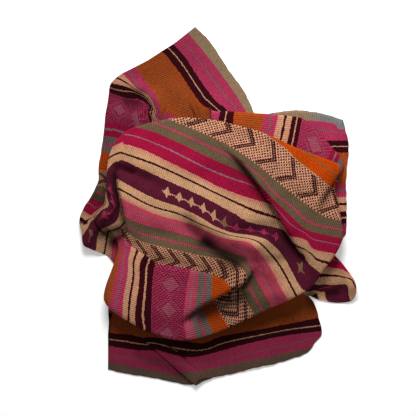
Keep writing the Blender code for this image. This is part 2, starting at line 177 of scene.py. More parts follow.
# Runs of the folds, ridges up and troughs down
# layer: top is the billow, low is the cloth round it, mm high, pixels wide
foldNames = ("layer", "fromX", "fromY", "toX", "toY", "height", "width")
folds = (
    ("top", 228, 162, 246, 186, 4, 6),
    ("top", 246, 186, 272, 230, 8, 6),
    ("top", 290, 240, 314, 284, -15, 9),
    ("top", 187, 220, 209, 245, -12, 6),
    ("top", 209, 245, 242, 263, -19, 7.5),
    ("top", 202, 222, 232, 237, 6, 6),
    ("top", 236, 240, 256, 246, 9, 6),
    ("top", 256, 246, 286, 300, 10, 8),
    ("top", 318, 256, 310, 278, 6, 9),
    ("top", 119, 169, 133, 173, -14, 4),
    ("top", 133, 173, 147, 180, -7, 5),
    ("top", 147, 180, 163, 189, -4, 6),
    ("top", 163, 189, 190, 205, -2.5, 8),
    ("top", 112.5, 172, 111, 190, 11, 4.2),
    ("top", 111, 190, 114, 203, 12, 4.2),
    ("top", 114, 203, 109.5, 213, 12, 4.4),
    ("top", 109.5, 213, 99, 222, 11, 4.6),
    ("top", 256, 301, 284, 292, 5, 8),
    ("top", 118, 300, 180, 306, 6, 18),
    ("top", 134, 258, 129, 322, 5, 6),
    ("top", 150, 266, 148, 328, -6, 6),
    ("top", 172, 272, 170, 330, 4, 9),
    ("top", 202, 276, 199, 302, -4, 6),
    ("top", 216, 276, 214, 295, 4, 5),
    ("top", 128, 150, 182, 168, 5, 10),
    ("top", 150, 196, 200, 216, 4, 10),
    ("top", 135, 226, 190, 244, -5, 9),
    ("top", 130, 206, 160, 218, 4, 9),
    ("top", 200, 132, 262, 164, 5, 10),
    ("top", 210, 170, 240, 184, -4, 10),
    ("top", 296, 178, 312, 200, 4, 9),
    ("low", 99, 222, 87, 243, 9, 5),
    ("low", 116, 234, 108, 252, -6, 6),
    ("low", 143, 103, 133, 122, 12, 4.5),
    ("low", 112, 84, 140, 88, 9, 6),
    ("low", 140, 88, 157, 99, 13, 6),
    ("low", 157, 99, 161, 116, 12, 6),
    ("low", 112, 112, 106, 132, 5, 9),
    ("low", 208, 98, 220, 112, 7, 10),
    ("low", 186, 98, 200, 112, 6, 11),
    ("low", 344, 268, 350, 286, 14, 7),
    ("low", 324, 291, 340, 290, -8, 5),
    ("low", 338, 122, 345, 132, 3, 7),
)

# Sharp folds where one part of the billow laps over the next. over: 1 with the lap
# on the left of the line as it runs, -1 on the right, rise: mm of the lap,
# dip: mm of the groove beyond it, fade and dipFade: pixels over which they die away,
# ease: pixels over which the lap begins, and last the pixels beside it over which shade is
# painted into the wool
laps = {
    "pocket": {
        "line": ((122, 236), (127, 241), (135, 248), (141, 251.5), (152, 259), (158, 264),
                 (177, 265.8), (196, 269.8), (214, 274), (224, 279.2), (228, 284), (230.5, 290)),
        "runOn": (275, 330), "over": -1,
        "rise": 5, "fade": 8, "dip": 7, "dipFade": 7, "ease": 12, "paintedShadeWidth": 2},
    "crease": {
        "line": ((252, 266), (250, 273), (244, 283), (231, 289.5), (219, 296), (206, 302.5),
                 (194, 310), (185, 316), (180, 323)),
        "runOn": (170, 345), "over": -1,
        "rise": 5, "fade": 9, "dip": 17, "dipFade": 9, "ease": 12, "paintedShadeWidth": 7},
    "shoulder": {
        "line": ((221, 146), (241, 163), (257, 184), (269, 201), (277.5, 215), (285.5, 231.5),
                 (297, 249), (307, 262)),
        "runOn": (330, 300), "over": 1,
        "rise": 8, "fade": 14, "dip": 25, "dipFade": 10, "ease": 40, "paintedShadeWidth": 8},
    "curl": {
        "line": ((119, 168), (117.8, 174), (118.3, 188), (121.1, 199.3), (124, 212),
                 (126, 225), (125.5, 236), (121, 246)),
        "runOn": (105, 275), "over": 1,
        "rise": 5, "fade": 9, "dip": 30, "dipFade": 5, "ease": 12, "paintedShadeWidth": 5.5},
    "facet": {
        "line": ((336, 176), (329.5, 185.5), (322, 197), (315.3, 211)),
        "runOn": (300, 240), "over": -1,
        "rise": 3, "fade": 8, "dip": 14, "dipFade": 16, "ease": 12,
        "paintedShadeWidth": 5},
}

# How the bands of the loom run over each part. v counts pixels from the top hem
# along the warp, u pixels from the left edge along a band. A row is the parts it
# belongs to, v, u at its first point, then points along the band.
bandRuns = (
    ("pillow shoulder", 188, 243, (305, 153.6), (312, 158), (320, 165), (333.7, 176.5)),
    ("pillow shoulder", 197, 197, (263, 134), (276.5, 142.4), (289, 153), (298, 162),
     (318, 177.5), (327.6, 185.7)),
    ("pillow shoulder", 227, 107, (165, 119), (188, 128), (209.7, 137.3), (232, 148.5),
     (257, 166), (281.6, 186.7), (302, 202), (322.4, 216.3), (339.8, 220.4)),
    ("pillow", 245, 92, (133.8, 128), (153, 132.6), (180, 144.5), (210, 159),
     (235.7, 170.4), (255, 181.6)),
    ("shoulder", 245, 192, (235.7, 170.4), (255, 181.6), (271.4, 199), (286.7, 213.3),
     (297, 223.5), (307, 230.6), (327.6, 235.7), (341.8, 238.8)),
    ("pillow", 255, 88, (121.8, 135.3), (137.4, 137.7), (168, 150), (204.4, 168.2),
     (230.6, 179), (251, 185.7), (260, 190)),
    ("shoulder", 255, 232, (263, 193), (277, 210), (288.8, 223.5), (304, 232.7),
     (311, 238.8), (338.8, 244.9)),
    ("pillow", 265, 82, (113.5, 145.3), (120.2, 144.4), (141.2, 150), (163, 160),
     (199.6, 177.7), (217.8, 187.3), (242.9, 196.9), (263, 203), (269.4, 204)),
    ("shoulder", 265, 272, (287.8, 235.7), (302, 238.8), (307, 241.8), (312, 249),
     (333.7, 254)),
    ("pillow", 274.5, 80, (109.7, 157.7), (112.5, 153.8), (118.3, 153.3), (127.8, 155.7),
     (156.5, 165.8), (185, 178.7), (218.7, 195), (251, 210), (271, 217), (277.6, 218.4)),
    ("shoulder", 274.5, 280, (295.9, 245.9), (310, 253), (315, 259), (326.5, 262.8)),
    ("curl", 284, 5, (83, 238), (89.3, 224.5), (92.9, 220), (102, 210.3), (110.6, 206.4),
     (108.7, 198.8), (106.3, 181.6), (107.7, 173.9), (111.6, 166.3), (118.3, 162),
     (131.7, 164), (151.8, 174.4)),
    ("pillow", 284, 92, (118.3, 162), (124, 161), (141, 169), (171.8, 183.5),
     (199.6, 196), (230, 212), (248, 222.4), (266, 226), (283.7, 230.6)),
    ("shoulder", 284, 300, (302, 253), (306, 261), (312, 267), (319.4, 273)),
    ("curl", 304, 5, (95.5, 250.4), (97.3, 235), (101.8, 229), (108.9, 226.3),
     (117.4, 220), (119.5, 205), (116.8, 186.4), (116.8, 176.8)),
    ("pillow", 304, 94, (118.3, 178.7), (133.6, 187.3), (156.5, 198.8), (178.5, 206.4),
     (197.7, 215), (215.8, 226.5), (232.5, 232.8), (243, 234), (254, 235.4),
     (265.3, 238.8)),
    ("pillow shoulder", 304, 254, (265.3, 238.8), (276.5, 248), (287.8, 264.3),
     (298, 283.7), (304, 289.8)),
    ("curl", 313.5, 5, (103.7, 253.4), (105.4, 245), (108.4, 230)),
    ("pillow", 313.5, 94, (119.7, 188.3), (150.8, 205), (178.5, 213), (200.5, 223.7),
     (223.5, 232.5), (237, 236.3), (247.5, 238), (257.6, 241.5), (267, 250),
     (279.6, 265.3), (295.9, 294.9)),
    ("curl", 323, 5, (111.5, 256), (112, 247), (112.9, 239.6)),
    ("pillow", 323, 92, (121.6, 198.3), (139.3, 207), (161, 216), (193, 224.5),
     (216, 235), (228, 238.5), (241, 240.5), (250, 243), (258, 251), (268.4, 265.3),
     (279.6, 286.7), (286.7, 298)),
    ("strip", 323, 248, (250, 243), (258, 251), (268.4, 265.3), (279.6, 286.7),
     (286.7, 298)),
    ("pillow", 333, 92, (124, 207.9), (152.7, 219.4), (187, 229), (218.4, 243),
     (236, 247.5), (245, 250.5), (252, 257.5), (260, 270), (269.7, 286.8), (278.6, 302)),
    ("strip", 333, 246, (260, 270), (269.7, 286.8), (278.6, 302)),
    ("pillow", 343, 92, (125.4, 216.5), (145, 224.6), (183, 234), (218, 246),
     (236.3, 254), (245, 255.5)),
    ("strip", 343, 238, (252.3, 269), (256.3, 279.6), (271.4, 306.3)),
    ("pillow", 352, 91, (127, 224.6), (145, 233.7), (190, 244.7), (218.7, 251.4),
     (243, 264)),
    ("strip", 352, 240, (248, 283.7), (253, 293), (263.3, 310.4)),
    ("pillow", 361, 90, (126, 230.4), (141, 240.4), (164, 246.6), (204.4, 255.7),
     (230, 261), (245, 270.7)),
    ("strip", 361, 241, (241, 289), (246, 299), (254, 314)),
    ("pillow", 376, 110, (139, 250), (164, 258), (204, 267), (228, 277)),
    ("panel", 522, 181, (119, 237), (115.4, 250), (108.7, 269.6), (104.7, 291), (103.4, 302)),
    ("panel", 509, 180, (123.8, 237.5), (122.8, 246), (120, 262), (114, 289.5), (110, 306.4)),
    ("panel", 495, 186, (132.6, 245.7), (129.3, 261), (129.5, 271.5), (125, 295.7),
     (123.9, 316.3)),
    ("panel", 481, 190, (145, 254.8), (140, 265), (140.4, 278), (135.5, 315.4), (138, 326)),
    ("panel", 467, 196, (156.5, 263.8), (154, 278), (152.5, 313.6), (152.5, 331.4)),
    ("panel", 436, 196, (191, 269), (187.3, 285.2), (184.3, 309), (182, 332)),
    ("panel", 424, 198, (198.6, 270.2), (197.8, 285.2), (194.8, 309.3), (192, 322)),
    ("panel", 409, 202, (213.2, 273.5), (212.6, 286), (212.2, 300.3), (210, 308)),
    ("panel", 400.5, 206, (219.8, 275.5), (219.8, 288), (218.5, 296)),
    ("panel", 391, 212, (229, 283), (230, 291)),
    ("strip", 436, 232, (183, 316), (186.5, 337)),
    ("strip", 424, 232, (191, 313.5), (195.5, 335)),
    ("strip", 409, 228, (202.4, 306), (208.5, 320), (214, 331)),
    ("strip", 391, 226, (214.5, 302), (221.5, 315), (228.5, 326)),
    ("strip", 376, 232, (229, 297), (234.5, 308), (241.5, 320.5)),
    ("wing", 23, 250, (211.5, 114), (213, 119)),
    ("wing", 34, 250, (220, 112.3), (218.2, 121.3)),
    ("wing", 49, 250, (234.3, 113.7), (232.9, 124.8)),
    ("wing", 79, 250, (263.8, 116.3), (261, 131.8)),
    ("wing", 93, 250, (278, 118), (273.5, 137.3)),
    ("wing", 107, 250, (291.8, 119.5), (286.7, 145.5)),
    ("wing", 121, 250, (301.5, 122), (296.4, 148.6)),
    ("wing", 152, 250, (332.4, 146.5), (328, 158.6)),
    ("wing", 164, 250, (339.6, 157.2), (337, 163)),
    ("wing", 175, 250, (344.7, 166.6), (342, 170)),
    ("upper", 0, 0, (195, 27), (211.5, 43.5), (227.5, 68.5), (240, 85), (255, 114)),
    ("upper", 12, 0, (189, 34.5), (208, 57.5), (230, 86.5), (247, 113)),
    ("upper", 34, 0, (173.8, 45), (184.3, 56.4), (200.5, 81), (216, 102), (224.5, 107)),
    ("upper", 49, 0, (164, 53.5), (178.5, 71.7), (199.6, 103), (209, 109)),
    ("upper", 79, 0, (135.5, 67.8), (149.8, 87), (172.8, 116.6)),
    ("upper", 93, 0, (123, 74.5), (130.5, 82.5), (138, 90), (146, 94.2), (151.6, 99.2)),
    ("upper", 90, 26, (154.6, 104), (155.2, 110), (155.4, 117.6)),
    ("upper", 107, 0, (111.5, 83.5), (128.5, 87.5), (137, 91), (145, 95.2), (150.4, 100)),
    ("upper", 117, 20, (151.8, 104.5), (152.2, 110), (152.2, 117.6)),
    ("upper", 121, 0, (110.6, 93), (126.3, 99), (143, 102), (149, 110.7), (148.6, 118)),
    ("upper", 152, 0, (106, 122.5), (126, 124)),
    ("upper", 164, 0, (103.4, 136.2), (118.3, 138)),
    ("upper", 179, 0, (101, 152.5), (109.7, 153.9)),
    ("upper", 197, 0, (98.7, 170), (106.3, 170.6)),
    ("upper", 227, 0, (97.2, 185.4), (105.4, 187.3)),
    ("upper curl", 245, 0, (91, 198), (100, 202.5)),
    ("upper curl", 255, 0, (89.3, 203.5), (97, 208.4)),
    ("upper curl", 265, 0, (82.6, 211.5), (92.4, 215.5)),
    ("upper curl", 274.5, 0, (79.5, 218.2), (88, 224)),
    ("right", 0, 270, (270, 113.5), (292, 110.5), (316, 112.2), (338, 118)),
    ("right", 12, 300, (299, 120.6), (321.3, 121.5), (334.6, 123.8),
     (337, 127), (340, 130), (344.5, 129)),
    ("right", 23, 322, (315, 130), (345, 132.7)),
    ("right", 34, 331, (326.6, 140.7), (348, 140.7)),
    ("right", 49, 342, (338, 152.8), (348, 153.2)),
    ("right", 79, 342, (335.7, 184.7), (346, 184.7)),
    ("right", 93, 343, (336.7, 197.4), (346, 197.4)),
    ("right", 107, 345, (338.8, 211.7), (346, 211.2)),
    ("right", 121, 346, (340.8, 224.5), (346.4, 224)),
    ("right", 152, 342, (330, 249), (338, 246)),
    ("flap", 250, 348, (330, 254), (334.5, 256)),
    ("flap", 265, 331, (328.4, 267.7), (341.3, 269.5), (347, 273)),
    ("flap", 274.5, 317, (322, 274.8), (341.3, 276.6), (350.3, 279.3), (353, 284.6)),
    ("flap", 284, 304, (313.2, 285), (330, 285.5), (345.8, 284.6), (347.6, 292.7),
     (348.5, 299.4)),
    ("flap", 295, 327, (318, 289), (330, 288), (337, 299)),
    ("flap", 304, 345, (325.7, 291.3), (325.7, 298)),
    ("flap", 313.5, 348, (316.3, 292.7), (316, 297)),
    ("rightFoot", 524, 286, (251, 319.6), (266.3, 316.5), (296, 309.4), (315, 303)),
    ("rightFoot", 539, 218, (186.4, 340.4), (205, 343), (220.4, 336), (261, 329),
     (317.3, 317.6)),
    ("rightFoot", 554, 179, (151.6, 348), (179.3, 355.5), (200, 356), (240.8, 345),
     (281.6, 336), (320.4, 331)),
    ("rightFoot", 565, 202, (170.4, 362.7), (197, 364), (240.8, 355.3), (317.3, 337)),
    ("rightFoot", 576, 217, (183.8, 370.7), (197, 371), (251, 360), (308, 348.2)),
    ("rightFoot", 588, 225, (204, 381), (236, 372.8), (288, 360.2), (307, 352.5)),
    ("leftFoot", 509, 0, (109, 308), (118, 311)),
    ("leftFoot", 524, 0, (109, 320), (121, 324)),
    ("leftFoot", 539, 0, (110, 332.3), (130, 334)),
    ("leftFoot", 554, 0, (109.2, 345.7), (134.6, 349.7), (150.7, 350.2)),
    ("leftFoot", 565, 0, (108.8, 354.6), (143.6, 359.6), (166, 362.7)),
    ("leftFoot", 576, 0, (108.3, 361.8), (143.6, 368.5), (179.3, 375.2)),
    ("leftFoot", 588, 0, (108, 369.5), (162, 379.4), (190, 385)),
)

# Which part the cloth round the billow belongs to, by place round the cloth
outerParts = (
    ("upper", -0.42, 0.49), ("right", 0.49, 1.50), ("flap", 1.50, 1.85),
    ("rightFoot", 1.85, 2.62), ("leftFoot", 2.62, 3.27), ("curl", 3.27, 3.58))


# Parts of the billow, each over those before it, the lap that bounds it and on
# which side of that it lies
clothParts = (("pillow", None, 0), ("shoulder", "shoulder", 1), ("panel", "pocket", -1),
              ("strip", "crease", 1), ("curl", "curl", -1))


def tableColumn(rows, names, name):
    place = names.index(name)
    return np.array([row[place] for row in rows], dtype=float)


def smooth(value, low, high):
    t = np.clip((value - low) / (high - low), 0.0, 1.0)
    return t * t * (3.0 - 2.0 * t)


# smooth curve through a column of the section table, round the whole cloth
def roundTheCloth(places, values, at, corners):
    count = len(places)
    low = np.clip(np.searchsorted(places, at, side="right") - 1, 0, count - 1)
    before = (low - 1) % count
    after = (low + 1) % count
    beyond = (low + 2) % count
    start = places[low]
    stop = np.where(after == 0, places[after] + 4.0, places[after])
    left = np.where(before > low, places[before] - 4.0, places[before])
    right = np.where(beyond < low, places[beyond] + 4.0, places[beyond])
    span = stop - start
    slope = (values[after] - values[low]) / span
    slopeIn = (values[after] - values[before]) / (stop - left)
    slopeOut = (values[beyond] - values[low]) / (right - start)
    if corners:   # the hem keeps its corners
        slopeIn = np.where(np.abs(start - np.round(start)) < 1e-6, slope, slopeIn)
        slopeOut = np.where(np.abs(stop - np.round(stop)) < 1e-6, slope, slopeOut)
    t = (at - start) / span
    a = values[low]
    b = slopeIn * span
    c = 3.0 * (values[after] - a) - 2.0 * b - slopeOut * span
    d = 2.0 * (a - values[after]) + b + slopeOut * span
    return a + b * t + c * t * t + d * t * t * t


# Stations along a section: 0 middle, 1 to 3 edge roll of the billow, 4 to 6 its
# turn underneath, 7 to 9 outer turn of the pleat, 10 to 12 inner turn, 13 hem.
# Sections without the pleat go straight to the hem by these parts of the way.
plainShares = (0.534, 0.578, 0.62, 0.672, 0.698, 0.724)
pleatLevels = (4, 3, 2, 2, 1, 0)   # heights of its turns, in wing rolls
# how far each ring of the grid goes: part of the rings, station
ringSteps = ((0.0, 0.0), (0.5, 1.0), (0.61, 3.0), (0.66, 6.0), (0.752, 7.0),
             (0.798, 9.0), (0.825, 10.0), (0.853, 12.0), (1.0, 13.0))


# unevenness of the hem: pixels, how fast it waves along the hem, start
hemWaves = ((0.2, 113.0, 0.0), (0.12, 197.0, 1.3), (0.3, 41.0, 0.0))


def sectionStations(at):
    spec = blanket
    places = tableColumn(sections, sectionNames, "at")
    got = {}
    for name in sectionNames[1:]:
        values = tableColumn(sections, sectionNames, name)
        got[name] = roundTheCloth(places, values, at, name.startswith("hem"))
    hem = np.stack([got["hemX"], got["hemY"]], axis=-1)
    waver = sum(size * np.sin(at * often + start) for size, often, start in hemWaves)
    edge = np.stack([got["edgeX"], got["edgeY"]], axis=-1)
    crest = np.stack([got["crestX"], got["crestY"]], axis=-1)
    heart = np.array([spec["heartX"], spec["heartY"]])
    wing = np.clip(got["wing"], 0.0, 1.0)
    roll = got["roll"] * 0.001
    lift = got["lift"] * 0.001
    tuck = np.where(got["tuck"] > 0.0, got["tuck"] * spec["tuckMore"], got["tuck"])
    floorLevel = spec["floorLevel"]
    hemLevel = floorLevel + np.maximum(got["hemUp"], 0.0) * 0.001
    reach = np.linalg.norm(edge - heart, axis=-1)
    outward = (edge - heart) / reach[..., None]
    hem = hem + outward * waver[..., None]
    rollPx = roll / plan["pixel"]
    neckPx = spec["neckRoll"] / plan["pixel"] * np.clip(tuck / 0.1, 0.0, 1.0)
    base = floorLevel + wing * pleatLevels[0] * spec["wingRoll"]
    base = np.maximum(base, np.minimum(hemLevel, floorLevel + 0.002))
    underPx = np.where(tuck > 0.0, np.minimum(rollPx, reach * tuck), reach * tuck * 0.4)
    neck = reach * tuck
    ways = [0.0 * neck + reach, rollPx, 0.0 * neck, underPx, neck, neck + neckPx, neck - 0.3]
    plans = [edge - outward * way[..., None] for way in ways]
    levels = [spec["heapHeight"] + 0.0 * roll, lift + roll, lift, lift - roll,
              base + 2.0 * spec["neckRoll"], base + spec["neckRoll"], base]
    fromNeck = plans[-1]
    crestOut = crest - edge
    crestOut = crestOut / np.maximum(np.linalg.norm(crestOut, axis=-1), 1.0)[..., None]
    inner = edge - outward * (reach * spec["pleatIn"])[..., None]
    outerTurn = crest - crestOut * spec["pleatOuter"]
    innerTurn = inner - outward * spec["pleatInner"]
    turns = (outerTurn, crest, outerTurn, inner, innerTurn, inner)
    for share, turn, level in zip(plainShares, turns, pleatLevels):
        near = fromNeck + (crest - fromNeck) * min(share * 2.0, 1.0)
        plain = near + (hem - crest) * max(share * 2.0 - 1.0, 0.0)
        plans.append(plain + (turn - plain) * wing[..., None])
        plainLevel = base + (hemLevel - base) * share ** 2
        turnLevel = floorLevel + level * spec["wingRoll"]
        levels.append(plainLevel + (turnLevel - plainLevel) * wing)
    plans.append(hem)
    levels.append(hemLevel)
    return np.stack(plans), np.stack(levels), wing


# points along the sections: quarter rounds at the edge of the billow, a dome
# inside it and straight runs elsewhere
def sectionPoints(station, at):
    plans, levels, wing = sectionStations(at)
    low = np.minimum(station.astype(int), len(plans) - 2)
    t = station - low
    index = np.arange(len(at))
    start, stop = plans[low, index], plans[low + 1, index]
    startLevel, stopLevel = levels[low, index], levels[low + 1, index]
    outShare, downShare = t.copy(), t.copy()
    outShare[low == 1] = np.sin(t[low == 1] * math.pi / 2.0)
    downShare[low == 1] = 1.0 - np.cos(t[low == 1] * math.pi / 2.0)
    outShare[low == 2] = 1.0 - np.cos(t[low == 2] * math.pi / 2.0)
    downShare[low == 2] = np.sin(t[low == 2] * math.pi / 2.0)
    downShare[low == 0] = t[low == 0] ** 3.0
    where = start + (stop - start) * outShare[:, None]
    return where, startLevel + (stopLevel - startLevel) * downShare, wing


# the rows of a table with their names
def named(names, rows):
    return [dict(zip(names, row)) for row in rows]


# 1 along a run, dying away beside it
def besideRun(where, run):
    start = np.array([run["fromX"], run["fromY"]])
    way = np.array([run["toX"], run["toY"]]) - start
    share = np.clip((where - start) @ way / (way @ way), 0.0, 1.0)
    gap = np.linalg.norm(where - start - share[:, None] * way, axis=1)
    return np.exp(-(gap / run["width"]) ** 2)


def foldHeight(layer, where):
    total = np.zeros(len(where))
    for fold in named(foldNames, folds):
        if fold["layer"] == layer:
            total += fold["height"] * 0.001 * besideRun(where, fold)
    return total


# slight unevenness all over a soft cloth: waves in mm, their length in pixels and way
rumples = ((1.4, 61.0, 20.0), (1.0, 43.0, 115.0), (0.5, 29.0, 65.0), (0.25, 19.0, 150.0),
           (0.12, 12.0, 35.0), (0.08, 8.0, 95.0))


def rumpleHeight(where):
    total = np.zeros(len(where))
    for height, length, way in rumples:
        turn = math.radians(way)
        along = where[:, 0] * math.cos(turn) + where[:, 1] * math.sin(turn)
        across = where[:, 1] * math.cos(turn) - where[:, 0] * math.sin(turn)
        bend = 1.5 * np.sin(across / length * 2.3 + length)
        total += height * 0.001 * np.sin(along / length * 2.0 * math.pi + bend)
    return total


# pixels from a line, positive on its left as it runs, and how far along it
def sideOfLine(line, where):
    corners = [np.array(corner, dtype=float) for corner in line]
    first = corners[0] - (corners[1] - corners[0]) * 20.0
    ends = [first] + corners
    bestKey = np.full(len(where), 1e9)
    side = np.zeros(len(where))
    along = np.zeros(len(where))
    done = -np.linalg.norm(corners[0] - first)
    for start, stop in zip(ends[:-1], ends[1:]):
        run = stop - start
        length = np.linalg.norm(run)
        offset = where - start
        share = np.clip(offset @ run / length ** 2, 0.0, 1.0)
        gap = np.linalg.norm(offset - share[:, None] * run, axis=1)
        cross = (offset[:, 0] * run[1] - offset[:, 1] * run[0]) / length
        key = gap - 0.0001 * np.abs(cross)
        closer = key < bestKey
        bestKey = np.where(closer, key, bestKey)
        side = np.where(closer, np.sign(cross) * gap, side)
        along = np.where(closer, done + share * length, along)
        done += length
    return side, along


# runs of deep places where shade is painted into the wool, darker by share
paintedShadeRunNames = ("fromX", "fromY", "toX", "toY", "width", "share")
paintedShadeRuns = (
    (101, 234, 120, 229, 6, 0.8),
    (112, 243, 120, 236, 5, 0.8),
    (328, 292.5, 336, 291, 5, 0.7),
    (127, 100.5, 139, 104, 5, 0.6),
    (192, 113, 198, 114, 3.5, 0.7),
    (189, 225, 204, 239, 6, 0.7),
    (204, 240.5, 235, 263, 8, 0.9),
    (202, 314, 242, 295, 9, 0.9),
    (238, 227, 274, 223, 6, 0.55),
    (256, 258, 280, 256, 6, 0.55),
    (270, 247, 300, 250, 8, 0.35),
    (311, 296, 314, 306, 6, 0.7),
    (91, 194, 101, 199, 5, 0.5),
    (140, 355, 180, 372, 8, 0.4),
)
lapEdge = {
    "under": -2.2,        # pixels from the line where the lap starts to rise
    "over": 1.6,          # and where it is up
    "lead": 4.0,          # pixels before the line's first point and after its last
    "tail": 14.0,         # pixels before its last point, from where the lap ends
    "dark": 0.85,         # how much shade is painted into the wool in a crease
}


# height of the laps, and the shade painted into the wool in the creases beside them and along
# the runs of deep places
def lapHeight(where, sides):
    spec = lapEdge
    total = np.zeros(len(where))
    paintedShade = np.zeros(len(where))
    for name, lap in laps.items():
        side, along = sides[name]
        corners = np.array(lap["line"], dtype=float)
        length = np.linalg.norm(np.diff(corners, axis=0), axis=1).sum()
        ends = smooth(along, -spec["lead"], lap["ease"])
        ends = ends * (1.0 - smooth(along, length - spec["tail"], length + spec["lead"]))
        side = side * lap["over"]
        over = smooth(side, spec["under"], spec["over"])
        rise = lap["rise"] * np.exp(-np.maximum(side, 0.0) / lap["fade"])
        dip = lap["dip"] * np.exp(-(np.minimum(side, 0.0) / lap["dipFade"]) ** 2)
        total += (over * rise - (1.0 - over) * dip) * ends * 0.001
        # painted shade in the crease beside the lap
        creaseShade = (1.0 - over) * np.exp(np.minimum(side, 0.0) / lap["paintedShadeWidth"]) * ends
        paintedShade = np.maximum(paintedShade, creaseShade * spec["dark"])
    for run in named(paintedShadeRunNames, paintedShadeRuns):
        paintedShade = np.maximum(paintedShade, run["share"] * besideRun(where, run))
    return total, paintedShade


# place round the cloth and station of every point of the square grid
def gridPlaces(count):
    steps = np.arange(-count, count + 1)
    across, down = np.meshgrid(steps, steps)
    a = across.ravel().astype(float)
    b = -down.ravel().astype(float)
    ring = np.maximum(np.abs(a), np.abs(b))
    size = np.maximum(ring, 1.0)
    at = np.zeros(len(a))
    top = (b >= ring - 0.5) & (a < ring)
    right = (a >= ring - 0.5) & (b > -ring)
    bottom = (b <= -ring + 0.5) & (a > -ring)
    left = (a <= -ring + 0.5) & (b < ring)
    at = np.where(left, 3.0 + (b / size + 1.0) / 2.0, at)
    at = np.where(bottom, 2.0 + (1.0 - a / size) / 2.0, at)
    at = np.where(right, 1.0 + (1.0 - b / size) / 2.0, at)
    at = np.where(top, (a / size + 1.0) / 2.0, at)
    at = np.where(ring < 0.5, 0.0, at) % 4.0
    shares, stations = zip(*ringSteps)
    return at, np.interp(ring / count, shares, stations)


# points along a smooth curve through a few places, about every few pixels
def curveThrough(places, every):
    p = np.array(places, dtype=float)
    p = np.concatenate([[2.0 * p[0] - p[1]], p, [2.0 * p[-1] - p[-2]]])
    points = [p[1]]
    for k in range(1, len(p) - 2):
        steps = max(2, int(np.linalg.norm(p[k + 1] - p[k]) / every))
        for t in np.arange(1, steps + 1) / steps:
            points.append(p[k] + 0.5 * t * (p[k + 1] - p[k - 1] + t * (
                2.0 * p[k - 1] - 5.0 * p[k] + 4.0 * p[k + 1] - p[k + 2]
                + t * (3.0 * (p[k] - p[k + 1]) + p[k + 2] - p[k - 1]))))
    points = np.array(points)
    lengths = np.linalg.norm(np.diff(points, axis=0), axis=1)
    return points, np.concatenate([[0.0], np.cumsum(lengths)])


weave = {
    "every": 5.0,         # pixels between the points taken along a band
    "soft": 2.0,          # pixels over which the weave bends at them
    "slack": 0.4,         # how loosely it keeps to them
    "rose": 323.0,        # v where the rose band after the middle starts
}


# u and v of one part of the cloth at some places, from the runs of its bands
def bandPlaces(part, where):
    spots = []
    values = []
    for row in bandRuns:
        if part not in row[0].split():
            continue
        points, lengths = curveThrough(row[3:], weave["every"])
        spots.extend(points)
        values.extend([(row[2] + length, row[1]) for length in lengths])
    spots = np.array(spots)
    values = np.array(values)
    middle = spots.mean(axis=0)
    count = len(spots)
    gaps = np.linalg.norm(spots[:, None] - spots[None], axis=2)
    system = np.zeros((count + 3, count + 3))
    system[:count, :count] = np.sqrt(gaps ** 2 + weave["soft"] ** 2)
    system[np.arange(count), np.arange(count)] -= weave["slack"]
    flat = np.concatenate([np.ones((count, 1)), (spots - middle) / 100.0], axis=1)
    system[:count, count:] = flat
    system[count:, :count] = flat.T
    weights = np.linalg.solve(system, np.concatenate([values, np.zeros((3, 2))]))
    got = np.zeros((len(where), 2))
    for start in range(0, len(where), 6000):
        some = where[start:start + 6000]
        gaps = np.linalg.norm(some[:, None] - spots[None], axis=2)
        rows = np.concatenate([
            np.sqrt(gaps ** 2 + weave["soft"] ** 2),
            np.ones((len(some), 1)), (some - middle) / 100.0], axis=1)
        got[start:start + 6000] = rows @ weights
    return got


# where on the loom every point of the cloth was
def weavePlaces(where, station, at, wing, sides):
    outer = np.zeros((len(where), 2))
    total = np.zeros(len(where))
    for part, start, stop in outerParts:
        gap = np.abs((at - (start + stop) / 2.0 + 2.0) % 4.0 - 2.0)
        share = np.clip(((stop - start) / 2.0 - gap) / 0.01 + 0.5, 0.0, 1.0)
        mine = share > 0.0
        outer[mine] += bandPlaces(part, where[mine]) * share[mine, None]
        total += share
    outer = outer / np.maximum(total, 0.001)[:, None]
    onWing = np.clip(wing * 3.0 - 1.0, 0.0, 1.0) * (1.0 - smooth(station, 9.0, 10.0))
    outer = outer + (bandPlaces("wing", where) - outer) * onWing[:, None]
    under = smooth(station, 3.2, 5.0)[:, None]
    fields = {}
    for part, lap, turn in clothParts:
        own = bandPlaces(part, where)
        side = sides[lap][0] * turn if lap else np.zeros(len(where))
        if part == "strip":   # as far as the rose band, which it shares with the pillow
            side = np.minimum(side, own[:, 1] - weave["rose"])
        own = own + (outer - own) * under
        fields[part] = np.concatenate([own, side[:, None]], axis=1)
    return fields


